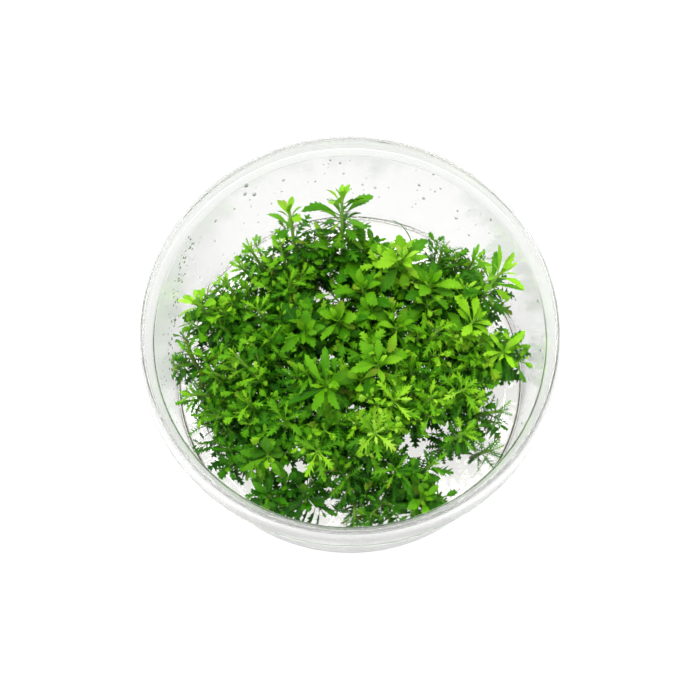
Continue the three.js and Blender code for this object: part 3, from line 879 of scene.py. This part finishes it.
class Nodes:
    """Adds shader nodes to a tree and joins them. A call takes values or other nodes' outputs."""

    def __init__(self, tree):
        self.tree = tree

    def feed(self, socket, given):
        if isinstance(given, (int, float, tuple)):
            socket.default_value = given
        else:
            self.link(given, socket)

    def add(self, kind, **values):
        node = self.tree.nodes.new(kind)
        for key, value in values.items():
            setattr(node, key, value)
        return node

    def link(self, source, target):
        self.tree.links.new(source, target)

    def math(self, operation, first, second=0.0, clamp=False):
        node = self.add("ShaderNodeMath", operation=operation, use_clamp=clamp)
        self.feed(node.inputs[0], first)
        self.feed(node.inputs[1], second)
        return node.outputs[0]

    def mix(self, factor, first, second):
        """A mix of two colours. The node's colour inputs are 6 and 7, and its colour output is 2."""
        node = self.add("ShaderNodeMix", data_type="RGBA")
        self.feed(node.inputs[0], factor)
        self.feed(node.inputs[6], first)
        self.feed(node.inputs[7], second)
        return node.outputs[2]

    def ramp(self, factor, stops):
        node = self.add("ShaderNodeValToRGB")
        for _ in stops[2:]:
            node.color_ramp.elements.new(0.5)
        for element, (place, colour) in zip(node.color_ramp.elements, stops):
            element.position = place
            element.color = (*colour, 1)
        self.link(factor, node.inputs[0])
        return node.outputs[0]

    def noise(self, coordinates, scale):
        node = self.add("ShaderNodeTexNoise")
        self.feed(node.inputs["Scale"], scale)
        node.inputs["Detail"].default_value = 2.0
        self.link(coordinates, node.inputs["Vector"])
        return node.outputs["Fac"]

    def bump(self, height, strength, distance):
        node = self.add("ShaderNodeBump")
        node.inputs["Strength"].default_value = strength
        node.inputs["Distance"].default_value = distance
        self.link(height, node.inputs["Height"])
        return node.outputs[0]

    def shader_mix(self, factor, first, second):
        node = self.add("ShaderNodeMixShader")
        self.feed(node.inputs[0], factor)
        self.link(first, node.inputs[1])
        self.link(second, node.inputs[2])
        return node.outputs[0]

    def plant_data(self):
        """The colour that every plant's points carry, as its three parts, and its alpha."""
        data = self.add("ShaderNodeAttribute", attribute_name="leaf_data")
        parts = self.add("ShaderNodeSeparateColor")
        self.link(data.outputs["Color"], parts.inputs[0])
        return *parts.outputs, data.outputs["Alpha"]

    def object_coordinates(self):
        return self.add("ShaderNodeTexCoord").outputs["Object"]


def new_material(name):
    """An empty material and its nodes, with its output."""
    material = bpy.data.materials.new(name)
    material.use_nodes = True
    material.node_tree.nodes.clear()
    nodes = Nodes(material.node_tree)
    output = nodes.add("ShaderNodeOutputMaterial")
    return material, nodes, output


def leaf_material():
    """Living leaf: green from dark to bright by age and by painted shade, a pale midrib, side veins and
    reddish tips.

    The veins are a sine wave along the leaf, about seven to a leaf, that slants forward from the midrib.
    Some light passes through the leaf.
    """
    material, nodes, output = new_material("living_leaf")
    tone, blush, along, across = nodes.plant_data()
    patches = nodes.noise(nodes.object_coordinates(), 420.0)
    patchy = nodes.math("MULTIPLY", nodes.math("SUBTRACT", patches, 0.5), 0.3)
    shade = nodes.math("ADD", tone, patchy, clamp=True)
    green = nodes.ramp(
        shade,
        (
            (0.0, (0.010, 0.095, 0.001)),
            (0.3, (0.048, 0.236, 0.002)),
            (0.55, (0.152, 0.450, 0.006)),
            (0.8, (0.345, 0.710, 0.020)),
            (1.0, (0.540, 0.860, 0.100)),
        ),
    )
    slanted = nodes.math("ADD", nodes.math("MULTIPLY", along, 46.0), nodes.math("MULTIPLY", across, -9.0))
    veins = nodes.math("SINE", slanted)
    rib = nodes.math("SUBTRACT", 1.0, nodes.math("MULTIPLY", across, 7.0), clamp=True)
    ribbed = nodes.mix(nodes.math("MULTIPLY", rib, 0.14), green, (0.36, 0.62, 0.10, 1))
    tip = nodes.math("MULTIPLY", blush, nodes.math("POWER", along, 3.0), clamp=True)
    colour = nodes.mix(nodes.math("MULTIPLY", tip, 0.7), ribbed, (0.30, 0.12, 0.03, 1))
    height = nodes.math("ADD", nodes.math("MULTIPLY", veins, 0.25), nodes.math("MULTIPLY", patches, 0.6))
    skin = nodes.add("ShaderNodeBsdfPrincipled")
    nodes.link(colour, skin.inputs["Base Color"])
    nodes.link(nodes.bump(height, 0.25, 0.0002), skin.inputs["Normal"])
    skin.inputs["Roughness"].default_value = 0.45
    skin.inputs["Specular IOR Level"].default_value = 0.3
    glow = nodes.add("ShaderNodeBsdfTranslucent")
    nodes.link(nodes.mix(0.4, colour, (0.25, 0.70, 0.01, 1)), glow.inputs["Color"])
    nodes.link(nodes.shader_mix(0.3, skin.outputs[0], glow.outputs[0]), output.inputs[0])
    return material


def stem_material():
    """Living stem: pale yellow-green, redder near its root."""
    material, nodes, output = new_material("living_stem")
    tone, _, along, _ = nodes.plant_data()
    streaks = nodes.noise(nodes.object_coordinates(), 900.0)
    pale = nodes.ramp(
        along,
        ((0.0, (0.26, 0.20, 0.06)), (0.35, (0.17, 0.30, 0.03)), (1.0, (0.32, 0.60, 0.07))),
    )
    colour = nodes.mix(nodes.math("MULTIPLY", streaks, 0.4), pale, (0.10, 0.26, 0.02, 1))
    skin = nodes.add("ShaderNodeBsdfPrincipled")
    nodes.link(nodes.mix(tone, (0.06, 0.16, 0.02, 1), colour), skin.inputs["Base Color"])
    skin.inputs["Roughness"].default_value = 0.4
    nodes.link(skin.outputs[0], output.inputs[0])
    return material


def wall_mist(nodes, coordinates):
    """How misted the inner wall is: most on the left and less on the right, by x over the axis distance."""
    split = nodes.add("ShaderNodeSeparateXYZ")
    nodes.link(coordinates, split.inputs[0])
    x, y, _ = split.outputs
    squares = nodes.math("ADD", nodes.math("MULTIPLY", x, x), nodes.math("MULTIPLY", y, y))
    aside = nodes.math("DIVIDE", x, nodes.math("POWER", squares, 0.5))
    past_left = nodes.math("SUBTRACT", MISTED_LEFT[0], aside)
    past_right = nodes.math("SUBTRACT", aside, MISTED_RIGHT[0])
    left = nodes.math("MULTIPLY", past_left, MISTED_LEFT[1], clamp=True)
    right = nodes.math("MULTIPLY", past_right, MISTED_RIGHT[1], clamp=True)
    return nodes.math("ADD", left, right)


def uneven_surface():
    """The unevenness that every clear thing has, as a node group: fine patches of haze, and slow waves.

    Haze is a noise three times as fine as the waves, and grows from nothing to twice the roughness.
    """
    group = bpy.data.node_groups.new("uneven_surface", "ShaderNodeTree")
    for name, kind in (("Coordinates", "Vector"), ("Scale", "Float"), ("Roughness", "Float")):
        group.interface.new_socket(name, in_out="INPUT", socket_type=f"NodeSocket{kind}")
    for name in ("Haze", "Height"):
        group.interface.new_socket(name, in_out="OUTPUT", socket_type="NodeSocketFloat")
    nodes = Nodes(group)
    given = nodes.add("NodeGroupInput").outputs
    result = nodes.add("NodeGroupOutput").inputs
    coordinates, scale, roughness = given["Coordinates"], given["Scale"], given["Roughness"]
    patches = nodes.noise(coordinates, nodes.math("MULTIPLY", scale, 3.0))
    nodes.link(nodes.math("MULTIPLY", patches, nodes.math("MULTIPLY", roughness, 2.0)), result["Haze"])
    nodes.link(nodes.noise(coordinates, scale), result["Height"])


def clear_material(name, tint, refraction, roughness, wave_scale, wave_strength, veil=0.0, misted=0.0):
    """Something clear: light passes it with its tint, its face waves a little, and it throws no dark shade.

    A veil is a faint white sheen. What is misted is rougher where the wall is misted.
    """
    material, nodes, output = new_material(name)
    coordinates = nodes.object_coordinates()
    clear = nodes.add("ShaderNodeBsdfPrincipled")
    clear.inputs["Base Color"].default_value = (*tint, 1)
    clear.inputs["IOR"].default_value = refraction
    clear.inputs["Transmission Weight"].default_value = 1.0
    clear.inputs["Sheen Weight"].default_value = veil
    clear.inputs["Sheen Roughness"].default_value = 0.4
    surface = nodes.add("ShaderNodeGroup", node_tree=bpy.data.node_groups["uneven_surface"])
    nodes.link(coordinates, surface.inputs["Coordinates"])
    surface.inputs["Scale"].default_value = wave_scale
    surface.inputs["Roughness"].default_value = roughness
    haze = surface.outputs["Haze"]
    if misted:
        haze = nodes.math("ADD", haze, nodes.math("MULTIPLY", wall_mist(nodes, coordinates), misted))
    nodes.link(haze, clear.inputs["Roughness"])
    nodes.link(nodes.bump(surface.outputs["Height"], wave_strength, 0.0005), clear.inputs["Normal"])
    passing = nodes.add("ShaderNodeBsdfTransparent")
    shadow = nodes.add("ShaderNodeLightPath").outputs["Is Shadow Ray"]
    nodes.link(nodes.shader_mix(shadow, clear.outputs[0], passing.outputs[0]), output.inputs[0])
    return material


def absorb(material, colour, density):
    """Light fades on its way through the material: e to the minus (1 - colour) times density and metres."""
    nodes = Nodes(material.node_tree)
    inside = nodes.add("ShaderNodeVolumeAbsorption")
    inside.inputs["Color"].default_value = (*colour, 1)
    inside.inputs["Density"].default_value = density
    nodes.link(inside.outputs[0], material.node_tree.nodes["Material Output"].inputs["Volume"])


# Studio


def make_floor():
    """A plain white floor, far wider than the view, that looks brighter than the light it gives back."""
    bpy.ops.mesh.primitive_plane_add(size=STUDIO_SIZE)
    floor = bpy.context.object
    floor.name = "studio_floor"
    floor.location = (0, 0, -STUDIO_DROP)
    material, nodes, output = new_material("white_floor")
    paint = nodes.add("ShaderNodeBsdfPrincipled")
    paint.inputs["Base Color"].default_value = (0.05, 0.05, 0.05, 1)
    paint.inputs["Roughness"].default_value = 0.8
    paint.inputs["Emission Color"].default_value = (1, 1, 1, 1)
    path = nodes.add("ShaderNodeLightPath")
    seen = nodes.math("SUBTRACT", 1.0, path.outputs["Is Diffuse Ray"])
    nodes.link(nodes.math("MULTIPLY", seen, STUDIO_GLOW), paint.inputs["Emission Strength"])
    nodes.link(paint.outputs[0], output.inputs[0])
    floor.data.materials.append(material)


def make_lights():
    """White light from all round, and one wide soft lamp over the cup, which shows in no reflection."""
    world = bpy.data.worlds.new("white_room")
    bpy.context.scene.world = world
    world.use_nodes = True
    nodes = Nodes(world.node_tree)
    room = world.node_tree.nodes["Background"]
    room.inputs["Color"].default_value = (1, 1, 1, 1)
    split = nodes.add("ShaderNodeSeparateXYZ")
    nodes.link(nodes.add("ShaderNodeTexCoord").outputs["Generated"], split.inputs[0])
    height = nodes.math("MULTIPLY", split.outputs[2], ROOM_GROWTH, clamp=True)
    seen = nodes.math("ADD", nodes.math("MULTIPLY", height, ROOM_SEEN - ROOM_LOW), ROOM_LOW)
    lighting = nodes.add("ShaderNodeLightPath").outputs["Is Diffuse Ray"]
    change = nodes.math("MULTIPLY", lighting, nodes.math("SUBTRACT", ROOM_LIGHT, seen))
    nodes.link(nodes.math("ADD", seen, change), room.inputs["Strength"])
    lamp = bpy.data.lights.new("soft_top_lamp", "AREA")
    lamp.shape = "SQUARE"
    lamp.size = LAMP_SIZE
    lamp.energy = LAMP_POWER
    holder = bpy.data.objects.new("soft_top_lamp", lamp)
    holder.location = LAMP_PLACE
    holder.rotation_euler = [math.radians(angle) for angle in LAMP_TILT]
    holder.visible_glossy = False
    bpy.context.scene.collection.objects.link(holder)


def make_camera():
    """The camera, turned so that its own up lies in the upright plane through the cup's middle."""
    tilt = math.radians(CAMERA_HEIGHT_ANGLE)
    camera = bpy.data.cameras.new("photo_camera")
    camera.sensor_width = SENSOR
    camera.lens = SENSOR * FOCAL_PIXELS / FRAME_PIXELS
    camera.clip_start = 0.01
    camera.clip_end = 20
    holder = bpy.data.objects.new("photo_camera", camera)
    back = np.array([0, -math.cos(tilt), math.sin(tilt)])
    holder.location = (np.array(CAMERA_AIM) + back * CAMERA_DISTANCE) * MM
    holder.rotation_euler = (math.pi / 2 - tilt, 0, 0)
    bpy.context.scene.collection.objects.link(holder)
    bpy.context.scene.camera = holder


make_camera()
make_lights()
make_floor()
bpy.context.scene.view_settings.view_transform = "Standard"
# Light that looks along the cup's rim turns many times inside it.
cycles = bpy.context.scene.cycles
cycles.max_bounces = 24
cycles.glossy_bounces = 14
cycles.transmission_bounces = 24
cycles.transparent_max_bounces = 28

# Each clear thing's tint, refraction, roughness, scale of its waves and their strength.
uneven_surface()
plastic = clear_material("clear_plastic", (0.965, 0.967, 0.960), 1.42, 0.02, 60.0, 0.02, veil=0.05)
absorb(plastic, (0.30, 0.32, 0.26), 13.0)
fine_mist = clear_material("fine_mist", (0.98, 0.98, 0.98), 1.33, 0.02, 60.0, 0.02, veil=0.44, misted=0.28)
gel_finish = clear_material("nutrient_gel", (0.965, 0.955, 0.94), 1.34, 0.04, 90.0, 0.15)
absorb(gel_finish, (0.30, 0.36, 0.12), 14.0)
# The water's grey tint is painted shade: it makes the drops show dark on the wall.
water = clear_material("drop_water", (0.60, 0.61, 0.60), 1.33, 0.0, 200.0, 0.0)
living_leaf = leaf_material()
living_stem = stem_material()

make_cup(plastic)
make_gel(gel_finish)
make_drops(water, fine_mist)
for place, plant_row in enumerate(PLANTS):
    make_plant(place, plant_row, living_leaf, living_stem)
